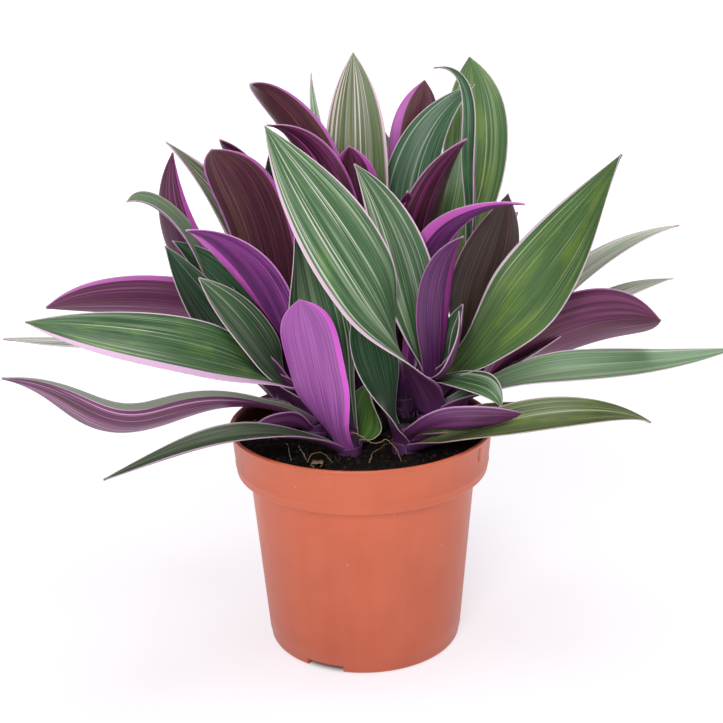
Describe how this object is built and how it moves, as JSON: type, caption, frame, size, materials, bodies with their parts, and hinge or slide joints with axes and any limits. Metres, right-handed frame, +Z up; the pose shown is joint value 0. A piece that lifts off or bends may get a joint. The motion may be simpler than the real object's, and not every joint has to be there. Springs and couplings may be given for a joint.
{
  "type": "potted tradescantia",
  "caption": "Tricolour boat lily in a nursery pot: clasping sword leaves, striped green and cream above and purple below, on short stems in potting mix.",
  "frame": {"origin": "centre of the pot's underside, on the surface it stands on", "axes": "+Z up, +X to the right as seen from the front, -Y towards the viewer"},
  "size_m": [0.3401, 0.2049, 0.2636],
  "materials": {
    "pot": "satin terracotta-coloured polypropylene",
    "potting_mix": "dark crumbly bark and peat mix",
    "foliage": "satin leaves, striped green and cream above, purple below"
  },
  "bodies": {
    "root": {"pot": "pot", "potting_mix": "potting_mix", "shoot_front": "foliage", "shoot_front_right": "foliage", "shoot_right": "foliage", "shoot_left": "foliage", "shoot_far_left": "foliage", "shoot_back_left": "foliage", "shoot_back": "foliage", "shoot_back_right": "foliage", "shoot_far_right": "foliage"}
  },
  "joints": []
}
